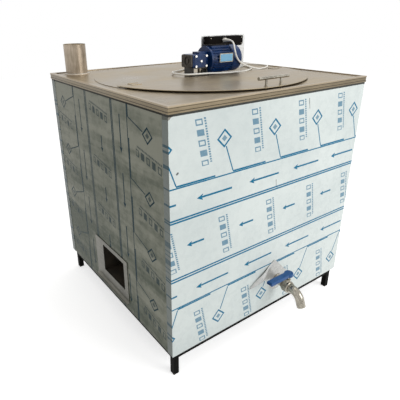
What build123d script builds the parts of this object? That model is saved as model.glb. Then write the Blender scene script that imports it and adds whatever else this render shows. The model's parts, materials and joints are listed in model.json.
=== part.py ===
"""Milk vat: a round heated vessel in a square steel casing, with a stirrer, a fire tube and a tap.

Lengths are millimetres, +Z is up and the floor is z = 0. The front, with the tap, faces -Y, and the
fire opening faces -X. Everything is drawn about the vessel's upright axis, at x = y = 0, and is moved
to the middle of its own footprint as it is written.
"""

import os
from math import cos, degrees, pi, radians, sin, sqrt, tan

from build123d import *

# Casing
WIDTH = 1046.0
DEPTH = 1015.0
HEIGHT = 1100.0
BAND_HEIGHT = 25.5
BAND_WALL = 2.0
BAND_RECESS = 1.0
BAND_BEAD = 6.5
RIM_WIDTH = 14.0
RIM_RISE = 3.5
DECK_SHEET = 2.0
PANEL_SHEET = 1.5
PANEL_SETBACK = 3.0
PANEL_BOTTOM = 112.6
CORNER_RETURN = 35.0
SEAT_GAP = 0.3

# Frame under and inside the casing
TUBE = 25.0
TUBE_WALL = 2.0
LEG_INSET = 16.4
BASE_RAIL_BOTTOM = 82.0
MID_RAIL_TOP = 400.0
BEARER_X = 300.0
PLUG_HEIGHT = 6.0

# Vessel, water jacket and lagging
MOUTH_MARGIN = 77.5
VESSEL_WALL = 2.5
VESSEL_FLANGE = 24.0
FLOOR_HEIGHT = 485.0
FLOOR_SLOPE = 2.0
JACKET_SPACE = 32.5
JACKET_WALL = 2.0
JACKET_DROP = 60.0
LAGGING = 28.0

# Fire tube and chimney
FIRE_Y0 = -136.0
FIRE_Y1 = 70.0
FIRE_Z0 = 209.0
FIRE_Z1 = 352.0
FIRE_WALL = 3.0
FIRE_LENGTH = 640.0
SURROUND_SHEET = 1.5
SURROUND_SIDE = 30.0
SURROUND_BACK = 79.0
SURROUND_TOP = 20.0
SILL_DROP = 44.0
SILL_REACH = 14.0
CHIMNEY_SIDE_INSET = 103.0
CHIMNEY_BACK_INSET = 87.5
CHIMNEY_RADIUS = 50.8
CHIMNEY_WALL = 2.0
CHIMNEY_RISE = 132.0
CHIMNEY_COLLAR = 4.0
FLUE_BEND = 80.0

# Covers over the mouth
COVER_OVERLAP = 46.0
COVER_SHEET = 2.0
LID_GAP = 6.0
SEAL_WIDTH = 8.0
LID_LIP = 22.0
HINGE_Y = -78.0
HINGE_INSET = 81.0
KNUCKLE_RADIUS = 4.5
PIN_RADIUS = 2.0
RUNNING_GAP = 0.05
HINGE_WIDTH = 44.0
LEAF_LENGTH = 26.0
LEAF_SHEET = 1.5
SEAM_OVERLAP = 8.0
HANDLE_INSET = 30.0
HANDLE_SPACING = 80.0
HANDLE_LENGTH = 162.0
HANDLE_RADIUS = 6.5
HANDLE_POST_RADIUS = 4.5
HANDLE_RISE = 29.0
BEAM_WIDTH = 90.0
BEAM_HEIGHT = 34.0
BEAM_SHEET = 3.0

# Reducer and motor
GEAR_X0 = -63.0
GEAR_X1 = 27.0
GEAR_Y0 = -32.0
GEAR_Y1 = 43.0
GEAR_BELOW = 29.0
GEAR_ABOVE = 27.0
GEAR_EDGE = 6.0
COVER_BOLT_X = 58.0
COVER_BOLT_Z = 43.0
COVER_BOLT_RADIUS = 5.5
COVER_PLATE = 3.0
END_CAP_RADIUS = 19.0
END_PLATE = 9.0
STAND_SHEET = 4.0
MOTOR_RADIUS = 60.0
MOTOR_CORE = 54.0
MOTOR_RIBS = 28
RIB_WIDTH = 2.4
FLANGE_LENGTH = 10.0
BODY_LENGTH = 118.0
COWL_LENGTH = 58.0
COWL_WALL = 1.5
MOTOR_SHAFT = 6.0
FAN_RADIUS = 48.0
FAN_BLADES = 7
PAD_LENGTH = 80.0
PAD_WIDTH = 56.0
PAD_HEIGHT = 4.2
TERMINAL_LENGTH = 104.0
TERMINAL_WIDTH = 62.0
TERMINAL_LID = 3.0
CAPACITOR_RADIUS = 11.0
CAPACITOR_LENGTH = 62.0
CAPACITOR_RISE = 40.0

# Control box on its upright plate
PLATE_X0 = 72.0
PLATE_X1 = 350.0
PLATE_Y = 78.0
PLATE_SHEET = 2.5
PLATE_FOOT = 30.0
BOX_X0 = 87.0
BOX_X1 = 300.0
BOX_HEIGHT = 45.0
BOX_LIFT = 3.5
BOX_DEPTH = 40.0
BOX_CHAMFER = 9.0
GLAND_X = 176.0
GLAND_RISE = 27.5
GLAND_RADIUS = 11.0
GLAND_LENGTH = 24.0

# Stirrer
SHAFT_RADIUS = 10.0
SHAFT_RISE = 13.0
PADDLE_CLEARANCE = 130.0
PADDLE_HEIGHT = 60.0
PADDLE_SHEET = 4.0
PADDLE_PITCH = 40.0
LOWER_PADDLE_Z = 570.0
UPPER_PADDLE_Z = 760.0
HUB_RADIUS = 22.0
BUSH_RADIUS = 24.0
BUSH_HEIGHT = 34.0

# Drain and tap
TAP_X = 60.0
TAP_Z = 235.0
DRAIN_INSET = 78.0
DRAIN_BEND = 60.0
PIPE_RADIUS = 16.85
PIPE_WALL = 2.6
ESCUTCHEON_RADIUS = 29.0
ESCUTCHEON_SHEET = 2.5
TAP_REACH = 62.5
VALVE_LENGTH = 52.0
VALVE_RADIUS = 27.0
VALVE_NUT = 22.0
BALL_RADIUS = 19.0
BALL_BORE = 12.5
STEM_RADIUS = 6.0
LEVER_Z = 297.0
LEVER_LENGTH = 122.0
LEVER_WIDTH = 20.0
LEVER_SHEET = 4.0
SLEEVE_WIDTH = 29.0
SLEEVE_THICK = 16.0
SLEEVE_EYE = 20.5
SLEEVE_SKIN = 2.0
SPOUT_LEAD = 1.0
SPOUT_RADIUS = 19.5
SPOUT_WALL = 2.0
SPOUT_BEND = 50.0
SPOUT_ANGLE = 68.0
SPOUT_LENGTH = 30.0

# Mains lead
CORD_RADIUS = 3.75
COIL_X = 330.0
COIL_Y = 205.0
COIL_MEAN_RADIUS = 41.0
COIL_TURNS_WIDE = 2
COIL_TURNS_HIGH = 2
PLUG_SIZE = 28.0

# Levels and faces that follow
MOUTH_RADIUS = min(WIDTH, DEPTH) / 2 - MOUTH_MARGIN
JACKET_RADIUS = MOUTH_RADIUS + VESSEL_WALL + JACKET_SPACE
COVER_RADIUS = MOUTH_RADIUS + COVER_OVERLAP
PADDLE_RADIUS = MOUTH_RADIUS - PADDLE_CLEARANCE
HINGE_X = COVER_RADIUS - HINGE_INSET
HANDLE_Y = -COVER_RADIUS + HANDLE_INSET
DRAIN_Y = -MOUTH_RADIUS + DRAIN_INSET
CHIMNEY_X = -WIDTH / 2 + CHIMNEY_SIDE_INSET
CHIMNEY_Y = DEPTH / 2 - CHIMNEY_BACK_INSET
JACKET_TOP = HEIGHT - JACKET_DROP
DECK_TOP = HEIGHT - RIM_RISE
DECK_BOTTOM = DECK_TOP - DECK_SHEET
COVER_TOP = DECK_TOP + COVER_SHEET
LID_BOTTOM = DECK_TOP + LID_GAP
LID_TOP = LID_BOTTOM + COVER_SHEET
HINGE_Z = COVER_TOP + KNUCKLE_RADIUS + 0.2
CHIMNEY_TOP = HEIGHT + CHIMNEY_RISE
MOTOR_Z = COVER_TOP + PAD_HEIGHT + SEAT_GAP + MOTOR_RADIUS
GEAR_Z0 = MOTOR_Z - GEAR_BELOW
GEAR_Z1 = MOTOR_Z + GEAR_ABOVE
SHAFT_TOP = MOTOR_Z + SHAFT_RISE
TERMINAL_SEAT = MOTOR_Z + MOTOR_RADIUS + SEAT_GAP
BOX_Z0 = MOTOR_Z + sqrt(max(MOTOR_RADIUS**2 - (PLATE_Y - BOX_DEPTH) ** 2, 0)) + BOX_LIFT
BOX_Z1 = BOX_Z0 + BOX_HEIGHT
PLATE_TOP = BOX_Z1 + 3
GLAND_Z = BOX_Z0 + GLAND_RISE
CAPACITOR_TOP = MOTOR_Z + CAPACITOR_RISE
FLUE_RADIUS = CHIMNEY_RADIUS - CHIMNEY_WALL - SEAT_GAP
PANEL_X = WIDTH / 2 - PANEL_SETBACK
PANEL_Y = DEPTH / 2 - PANEL_SETBACK
POST_X = WIDTH / 2 - LEG_INSET - TUBE / 2
POST_Y = DEPTH / 2 - LEG_INSET - TUBE / 2
PIPE_BORE = PIPE_RADIUS - PIPE_WALL
FLANGE_X = GEAR_X1 + FLANGE_LENGTH
BODY_X = FLANGE_X + BODY_LENGTH
COWL_X = BODY_X + COWL_LENGTH
VALVE_Y = -PANEL_Y - TAP_REACH
VALVE_BACK = VALVE_Y + VALVE_LENGTH / 2
VALVE_FRONT = VALVE_Y - VALVE_LENGTH / 2
SPOUT_TIP_Y = (
    VALVE_FRONT
    - SPOUT_LEAD
    - SPOUT_BEND * sin(radians(SPOUT_ANGLE))
    - SPOUT_LENGTH * cos(radians(SPOUT_ANGLE))
    - SPOUT_RADIUS * sin(radians(SPOUT_ANGLE))
)
AXIS_X = (SILL_REACH + SEAT_GAP - PANEL_SETBACK) / 2
AXIS_Y = (-SPOUT_TIP_Y - DEPTH / 2) / 2

pieces = {}


def block(x0, x1, y0, y1, z0, z1):
    """A box from its two corners."""
    return Pos(x0, y0, z0) * Box(x1 - x0, y1 - y0, z1 - z0, align=(Align.MIN,) * 3)


def rod_z(x, y, z0, z1, radius):
    """An upright round bar."""
    base = (Align.CENTER, Align.CENTER, Align.MIN)
    return Pos(x, y, z0) * Cylinder(radius, z1 - z0, align=base)


def rod_x(x0, x1, y, z, radius):
    """A round bar along X."""
    return Pos((x0 + x1) / 2, y, z) * Rot(0, 90, 0) * Cylinder(radius, x1 - x0)


def rod_y(x, y0, y1, z, radius):
    """A round bar along Y."""
    return Pos(x, (y0 + y1) / 2, z) * Rot(90, 0, 0) * Cylinder(radius, y1 - y0)


def pipe_z(x, y, z0, z1, outer, inner):
    """An upright tube."""
    return rod_z(x, y, z0, z1, outer) - rod_z(x, y, z0 - 1, z1 + 1, inner)


def square_tube(x0, x1, y0, y1, z0, z1, along):
    """A square hollow section between two corners, open at both ends."""
    w = TUBE_WALL
    ends = {
        "x": (x0 - 1, x1 + 1, y0 + w, y1 - w, z0 + w, z1 - w),
        "y": (x0 + w, x1 - w, y0 - 1, y1 + 1, z0 + w, z1 - w),
        "z": (x0 + w, x1 - w, y0 + w, y1 - w, z0 - 1, z1 + 1),
    }
    return block(x0, x1, y0, y1, z0, z1) - block(*ends[along])


def half_space(y_limit, front):
    """A large block in front of or behind an upright plane."""
    if front:
        return block(-WIDTH, WIDTH, -DEPTH, y_limit, 0, 2 * HEIGHT)
    return block(-WIDTH, WIDTH, y_limit, DEPTH, 0, 2 * HEIGHT)


def frame_pieces():
    """Corner posts on plugged feet, base rails, mid rails and the bearers that carry the jacket."""
    sides = {"front": -1, "back": 1}
    hands = {"left": -1, "right": 1}
    plugs = []
    for side, sy in sides.items():
        for hand, sx in hands.items():
            x = sx * POST_X
            y = sy * POST_Y
            half = TUBE / 2
            post = square_tube(
                x - half, x + half, y - half, y + half, PLUG_HEIGHT, DECK_BOTTOM - SEAT_GAP, "z"
            )
            pieces["post_" + side + "_" + hand] = post
            inner = half - TUBE_WALL - SEAT_GAP
            head = block(x - half, x + half, y - half, y + half, 0, PLUG_HEIGHT)
            neck = block(x - inner, x + inner, y - inner, y + inner, PLUG_HEIGHT, 4 * PLUG_HEIGHT)
            plugs.append(head + neck)
    pieces["leg_plugs"] = plugs

    run_x = POST_X - TUBE / 2 - SEAT_GAP
    run_y = POST_Y - TUBE / 2 - SEAT_GAP
    z0 = BASE_RAIL_BOTTOM
    z1 = z0 + TUBE
    along_x = []
    along_y = []
    mid = []
    bearers = []
    for s in (-1, 1):
        y = s * POST_Y
        x = s * POST_X
        along_x.append(square_tube(-run_x, run_x, y - TUBE / 2, y + TUBE / 2, z0, z1, "x"))
        along_y.append(square_tube(x - TUBE / 2, x + TUBE / 2, -run_y, run_y, z0, z1, "y"))
        mid.append(
            square_tube(
                -run_x, run_x, y - TUBE / 2, y + TUBE / 2, MID_RAIL_TOP - TUBE, MID_RAIL_TOP, "x"
            )
        )
        bx = s * BEARER_X
        bearers.append(
            square_tube(
                bx - TUBE / 2, bx + TUBE / 2, -run_y, run_y, MID_RAIL_TOP - TUBE, MID_RAIL_TOP, "y"
            )
        )
    pieces["base_rails_long"] = along_x
    pieces["base_rails_side"] = along_y
    notch = rod_z(CHIMNEY_X, CHIMNEY_Y, 0, HEIGHT, CHIMNEY_RADIUS + 3)
    pieces["mid_rails"] = [rail - notch for rail in mid]
    pieces["jacket_bearers"] = bearers


def casing_pieces():
    """Four sheet panels and the deck with its raised rim and turned-down band."""
    top = DECK_BOTTOM - SEAT_GAP
    t = PANEL_SHEET
    foot_y = DEPTH / 2 - LEG_INSET + SEAT_GAP
    foot_x = WIDTH / 2 - LEG_INSET + SEAT_GAP
    for name, s in (("front_panel", -1), ("back_panel", 1)):
        sheet = block(-PANEL_X, PANEL_X, PANEL_Y - t, PANEL_Y, PANEL_BOTTOM, top)
        foot = block(-POST_X, POST_X, foot_y, PANEL_Y, PANEL_BOTTOM, PANEL_BOTTOM + t)
        panel = sheet + foot
        for side in (-1, 1):
            near = side * PANEL_X
            far = side * (PANEL_X - t)
            edge = block(
                min(near, far), max(near, far), PANEL_Y - CORNER_RETURN, PANEL_Y, PANEL_BOTTOM, top
            )
            panel = panel + edge
        if s < 0:
            panel = mirror(panel, about=Plane.XZ)
            panel = panel - rod_y(TAP_X, -DEPTH, -DEPTH / 4, TAP_Z, PIPE_RADIUS + SEAT_GAP)
        pieces[name] = panel

    skin_x = PANEL_X - t - SEAT_GAP
    run_y = PANEL_Y - t - SEAT_GAP
    for name, s in (("left_panel", -1), ("right_panel", 1)):
        sheet = block(skin_x - t, skin_x, -run_y, run_y, PANEL_BOTTOM, top)
        foot = block(foot_x, skin_x, -POST_Y, POST_Y, PANEL_BOTTOM, PANEL_BOTTOM + t)
        panel = sheet + foot
        if s < 0:
            panel = mirror(panel, about=Plane.YZ)
            hole = block(-WIDTH, -WIDTH / 4, FIRE_Y0, FIRE_Y1, FIRE_Z0, FIRE_Z1)
            panel = panel - hole
        pieces[name] = panel

    half_x = WIDTH / 2
    half_y = DEPTH / 2
    inner_x = half_x - BAND_WALL
    inner_y = half_y - BAND_WALL
    outer = block(-half_x, half_x, -half_y, half_y, HEIGHT - BAND_HEIGHT, HEIGHT)
    under = block(-inner_x, inner_x, -inner_y, inner_y, 0, DECK_BOTTOM)
    tray_x = half_x - RIM_WIDTH
    tray_y = half_y - RIM_WIDTH
    tray = block(-tray_x, tray_x, -tray_y, tray_y, DECK_TOP, 2 * HEIGHT)
    deck = outer - under - tray
    low = HEIGHT - BAND_HEIGHT + BAND_BEAD
    high = HEIGHT - BAND_BEAD
    bx = half_x - BAND_RECESS
    by = half_y - BAND_RECESS
    recess = block(-half_x - 1, half_x + 1, -half_y - 1, half_y + 1, low, high)
    deck = deck - (recess - block(-bx, bx, -by, by, low - 1, high + 1))
    mouth = rod_z(0, 0, 0, 2 * HEIGHT, MOUTH_RADIUS)
    flue = rod_z(CHIMNEY_X, CHIMNEY_Y, 0, 2 * HEIGHT, FLUE_RADIUS + SEAT_GAP)
    pieces["top_plate"] = deck - mouth - flue


def floor_cut(offset):
    """Everything under the vessel's sloping floor, lowered by the offset."""
    big = 2 * DEPTH
    lower = Pos(0, 0, -big / 2) * Box(big, big, big)
    return Pos(0, 0, FLOOR_HEIGHT - offset) * Rot(FLOOR_SLOPE, 0, 0) * lower


def vessel_pieces():
    """The round milk vessel, the water jacket round it and the lagging."""
    top = DECK_BOTTOM - SEAT_GAP
    outer = MOUTH_RADIUS + VESSEL_WALL
    wall = rod_z(0, 0, MID_RAIL_TOP, top, outer) + rod_z(
        0, 0, top - VESSEL_WALL, top, outer + VESSEL_FLANGE
    )
    pieces["vessel_wall"] = wall - rod_z(0, 0, 0, HEIGHT, MOUTH_RADIUS) - floor_cut(0)
    floor = (rod_z(0, 0, MID_RAIL_TOP, HEIGHT, outer) & floor_cut(0)) - floor_cut(VESSEL_WALL)
    pieces["vessel_floor"] = floor - rod_z(TAP_X, DRAIN_Y, MID_RAIL_TOP, HEIGHT, PIPE_BORE)

    z0 = MID_RAIL_TOP + SEAT_GAP
    wall = JACKET_WALL
    jacket = rod_z(0, 0, z0, JACKET_TOP, JACKET_RADIUS)
    jacket = jacket - rod_z(0, 0, z0 + wall, JACKET_TOP - wall, JACKET_RADIUS - wall)
    jacket = jacket - rod_z(0, 0, JACKET_TOP - 2 * wall, HEIGHT, outer + SEAT_GAP)
    jacket = jacket - rod_z(TAP_X, DRAIN_Y, 0, FLOOR_HEIGHT, PIPE_RADIUS + SEAT_GAP)
    pieces["water_jacket"] = jacket

    inner = JACKET_RADIUS + SEAT_GAP
    pieces["lagging"] = pipe_z(0, 0, z0, JACKET_TOP, inner + LAGGING, inner)


def fire_pieces():
    """The fire tube with its flue, the bare steel surround at its mouth, and the chimney stub."""
    w = FIRE_WALL
    mouth_x = -PANEL_X + 2 * PANEL_SHEET + 2 * SEAT_GAP
    end_x = mouth_x + FIRE_LENGTH
    roof = MID_RAIL_TOP - TUBE - SEAT_GAP
    body = block(mouth_x, end_x, FIRE_Y0 - w, FIRE_Y1 + w, FIRE_Z0 - w, roof)
    room = block(mouth_x + w, end_x - w, FIRE_Y0, FIRE_Y1, FIRE_Z0, roof - w)
    room = room + block(mouth_x - 1, mouth_x + 2 * w, FIRE_Y0, FIRE_Y1, FIRE_Z0, min(FIRE_Z1, roof - w))
    duct_z = (FIRE_Z0 + roof) / 2
    duct_r = FLUE_RADIUS
    bore_r = FLUE_RADIUS - CHIMNEY_WALL
    port = rod_y(CHIMNEY_X, FIRE_Y1 - 1, FIRE_Y1 + 2 * w, duct_z, bore_r)
    pieces["fire_tube"] = body - room - port

    riser_top = DECK_TOP + BAND_HEIGHT
    start = Vector(CHIMNEY_X, FIRE_Y1 + w + SEAT_GAP, duct_z)
    corner = Vector(CHIMNEY_X, CHIMNEY_Y, duct_z)
    path = FilletPolyline(start, corner, Vector(CHIMNEY_X, CHIMNEY_Y, riser_top), radius=FLUE_BEND)
    section = Plane(origin=start, z_dir=(0, 1, 0))
    flue = sweep(section * Circle(duct_r), path=path)
    pieces["flue_pipe"] = flue - sweep(section * Circle(bore_r), path=path)

    stub_bore = CHIMNEY_RADIUS - CHIMNEY_WALL
    foot_top = DECK_TOP + CHIMNEY_COLLAR
    stub = pipe_z(CHIMNEY_X, CHIMNEY_Y, DECK_TOP, CHIMNEY_TOP, CHIMNEY_RADIUS, stub_bore)
    foot = pipe_z(
        CHIMNEY_X, CHIMNEY_Y, DECK_TOP, foot_top, CHIMNEY_RADIUS + 2 * CHIMNEY_COLLAR, stub_bore
    )
    outer_edge = foot.edges().filter_by(GeomType.CIRCLE).group_by(Axis.Z)[-1].sort_by(SortBy.LENGTH)[-1]
    foot = chamfer(outer_edge, CHIMNEY_COLLAR * 0.7)
    pieces["chimney_stub"] = stub + foot

    face = -PANEL_X - SEAT_GAP
    t = SURROUND_SHEET
    y0 = FIRE_Y0 - SURROUND_SIDE
    y1 = FIRE_Y1 + SURROUND_BACK
    z1 = FIRE_Z1 + SURROUND_TOP
    z0 = FIRE_Z0 - SILL_DROP
    plate = block(face - t, face, y0, y1, z0, z1)
    hole = block(face - 2 * t, face + t, FIRE_Y0, FIRE_Y1, FIRE_Z0, FIRE_Z1)
    sleeve_x = mouth_x - SEAT_GAP
    sleeve = block(face - t, sleeve_x, FIRE_Y0, FIRE_Y1, FIRE_Z0, FIRE_Z1)
    g = t + SEAT_GAP
    sleeve = sleeve - block(
        face - 2 * t, sleeve_x + 1, FIRE_Y0 + g, FIRE_Y1 - g, FIRE_Z0 + g, FIRE_Z1 - g
    )
    trim = block(
        face, sleeve_x + 1, FIRE_Y0 + SEAT_GAP, FIRE_Y1 - SEAT_GAP, FIRE_Z0 + SEAT_GAP, FIRE_Z1 - SEAT_GAP
    )
    sleeve = (sleeve & trim) + (sleeve & block(face - t, face, FIRE_Y0, FIRE_Y1, FIRE_Z0, FIRE_Z1))
    r = SILL_REACH
    curl = Pos(face - r, 0, z0) * Rot(90, 0, 0) * Cylinder(r, y1 - y0)
    curl = curl - Pos(face - r, 0, z0) * Rot(90, 0, 0) * Cylinder(r - t, 2 * (y1 - y0))
    curl = Pos(0, (y0 + y1) / 2, 0) * curl
    curl = curl & block(face - r, face, y0, y1, z0 - 2 * r, z0)
    pieces["fire_surround"] = plate - hole + sleeve + curl


def cover_pieces():
    """The fixed rear cover over its beam, and the hinged front lid with its seal and handle."""
    disc = rod_z(0, 0, DECK_TOP, COVER_TOP, COVER_RADIUS)
    rear = disc & half_space(HINGE_Y - SEAM_OVERLAP, False)
    passage = rod_z(0, 0, 0, 2 * HEIGHT, SHAFT_RADIUS + 2)
    chimney_room = rod_z(
        CHIMNEY_X, CHIMNEY_Y, 0, 2 * HEIGHT, CHIMNEY_RADIUS + 3 * CHIMNEY_COLLAR
    )
    pieces["rear_cover"] = rear - passage - chimney_room

    inset = BEAM_WIDTH / 2
    reach = sqrt(MOUTH_RADIUS**2 - inset**2) - 1
    z1 = DECK_TOP - SEAT_GAP
    z0 = z1 - BEAM_HEIGHT
    w = BEAM_SHEET
    beam = block(-reach, reach, -inset, inset, z0, z1)
    beam = beam - block(-reach - 1, reach + 1, -inset + w, inset - w, z0 - 1, z1 - w)
    pieces["bridge_beam"] = beam - passage

    lid_edge = HINGE_Y - KNUCKLE_RADIUS - 1.5
    lid = rod_z(0, 0, LID_BOTTOM, LID_TOP, COVER_RADIUS) & half_space(lid_edge, True)
    lip_outer = MOUTH_RADIUS - 6
    lip = pipe_z(0, 0, LID_BOTTOM - LID_LIP, LID_BOTTOM, lip_outer, lip_outer - COVER_SHEET)
    lip = lip & half_space(lid_edge - SEAM_OVERLAP - COVER_SHEET, True)
    pieces["front_lid"] = lid + lip

    seal = pipe_z(
        0, 0, DECK_TOP, LID_BOTTOM - SEAT_GAP, MOUTH_RADIUS + 2 + SEAL_WIDTH, MOUTH_RADIUS + 2
    )
    pieces["lid_seal"] = seal & half_space(HINGE_Y - SEAM_OVERLAP - SEAT_GAP, True)

    fixed = []
    moving = []
    pins = []
    third = HINGE_WIDTH / 3
    for s in (-1, 1):
        x0 = s * HINGE_X - HINGE_WIDTH / 2
        x1 = x0 + third
        x2 = x1 + third
        x3 = x0 + HINGE_WIDTH
        barrel = rod_x(x0, x1, HINGE_Y, HINGE_Z, KNUCKLE_RADIUS)
        barrel = barrel + rod_x(x2, x3, HINGE_Y, HINGE_Z, KNUCKLE_RADIUS)
        leaf = block(x0, x3, HINGE_Y, HINGE_Y + LEAF_LENGTH, COVER_TOP, COVER_TOP + LEAF_SHEET)
        room = rod_x(x1, x2, HINGE_Y, HINGE_Z, KNUCKLE_RADIUS + 0.6)
        leaf = leaf - block(x1, x2, HINGE_Y - 1, HINGE_Y + 5.5, COVER_TOP, COVER_TOP + LEAF_SHEET)
        hole = rod_x(x0 - 1, x3 + 1, HINGE_Y, HINGE_Z, PIN_RADIUS)
        fixed.append(leaf + barrel - room - hole)
        knuckle = rod_x(x1 + SEAT_GAP, x2 - SEAT_GAP, HINGE_Y, HINGE_Z, KNUCKLE_RADIUS)
        web_top = LID_TOP + LEAF_SHEET
        flap = block(
            x0, x3, lid_edge - LEAF_LENGTH, lid_edge, LID_TOP, web_top
        )
        web = block(x1 + SEAT_GAP, x2 - SEAT_GAP, lid_edge - 1, HINGE_Y, LID_TOP, web_top)
        bore = rod_x(x0 - 1, x3 + 1, HINGE_Y, HINGE_Z, PIN_RADIUS + RUNNING_GAP)
        moving.append(flap + web + knuckle - bore)
        head = rod_x(x3, x3 + 2, HINGE_Y, HINGE_Z, PIN_RADIUS + 1.5)
        pins.append(rod_x(x0 - 2, x3, HINGE_Y, HINGE_Z, PIN_RADIUS) + head)
    pieces["hinge_fixed_leaves"] = fixed
    pieces["hinge_lid_leaves"] = moving
    pieces["hinge_pins"] = pins

    bar_z = LID_TOP + HANDLE_RISE
    half = HANDLE_LENGTH / 2
    handle = rod_x(-half, half, HANDLE_Y, bar_z, HANDLE_RADIUS)
    for s in (-1, 1):
        x = s * HANDLE_SPACING / 2
        handle = handle + rod_z(x, HANDLE_Y, LID_TOP, bar_z, HANDLE_POST_RADIUS)
        handle = handle + rod_z(x, HANDLE_Y, LID_TOP, LID_TOP + 2, HANDLE_POST_RADIUS + 2)
    pieces["lid_handle"] = handle


def gearbox_pieces():
    """The right-angle reducer on its bent steel stand, with a bolted side cover and an end cap."""
    t = STAND_SHEET
    x0 = GEAR_X0 + 5
    x1 = GEAR_X1 - 5
    y0 = GEAR_Y0 + 4
    y1 = GEAR_Y1 - 4
    z1 = GEAR_Z0
    stand = block(x0, x1, y0, y1, COVER_TOP, z1)
    stand = stand - block(x0 + t, x1 - t, y0 - 1, y1 + 1, COVER_TOP + t, z1 - t)
    passage = rod_z(0, 0, 0, 2 * HEIGHT, SHAFT_RADIUS + 2)
    pieces["gearbox_stand"] = stand - passage

    case = block(GEAR_X0, GEAR_X1, GEAR_Y0, GEAR_Y1, GEAR_Z0, GEAR_Z1)
    case = fillet(case.edges().filter_by(Axis.X), GEAR_EDGE)
    boss_y = 0
    step = block(GEAR_X0 + 40, GEAR_X1, -24, 24, GEAR_Z1 - 1, GEAR_Z1 + 9)
    case = case + step
    socket = rod_z(0, 0, GEAR_Z0 - 1, SHAFT_TOP + 0.5, SHAFT_RADIUS + RUNNING_GAP)
    drive = rod_x(GEAR_X1 - 14, GEAR_X1 + 1, 0, MOTOR_Z, MOTOR_SHAFT + RUNNING_GAP)
    pieces["gearbox_case"] = case - socket - drive

    cx = (GEAR_X0 + GEAR_X1) / 2 - 1.5
    cz = (GEAR_Z0 + GEAR_Z1) / 2
    edge = COVER_BOLT_RADIUS + 3
    face = GEAR_Y0
    cover = block(
        cx - COVER_BOLT_X / 2 - edge,
        cx + COVER_BOLT_X / 2 + edge,
        face - COVER_PLATE,
        face,
        cz - COVER_BOLT_Z / 2 - 5,
        cz + COVER_BOLT_Z / 2 + 5,
    )
    cover = fillet(cover.edges().filter_by(Axis.Y), 4)
    pieces["gearbox_cover"] = cover
    bolts = []
    spots = [(sx * COVER_BOLT_X / 2, sz * COVER_BOLT_Z / 2) for sx in (-1, 1) for sz in (-1, 1)]
    spots.append((0, 0))
    for dx, dz in spots:
        head = Pos(cx + dx, face - COVER_PLATE, cz + dz) * Rot(90, 0, 0)
        head = head * extrude(RegularPolygon(COVER_BOLT_RADIUS, 6), COVER_BOLT_RADIUS * 0.8)
        bolts.append(head)
    pieces["gearbox_cover_bolts"] = bolts
    x1 = GEAR_X0
    x0 = GEAR_X0 - END_PLATE
    cap = block(x0, x1, GEAR_Y0 + 2, GEAR_Y1 - 2, GEAR_Z0 + 1, GEAR_Z1 - 1)
    cap = chamfer(cap.edges().filter_by(Axis.X), 5)
    cap = cap - rod_x(x0 - 1, x0 + 4, boss_y, MOTOR_Z, END_CAP_RADIUS)
    cap = cap + rod_x(x0 + 1, x0 + 5, boss_y, MOTOR_Z, END_CAP_RADIUS * 0.5)
    pieces["gearbox_end_cap"] = cap


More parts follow.
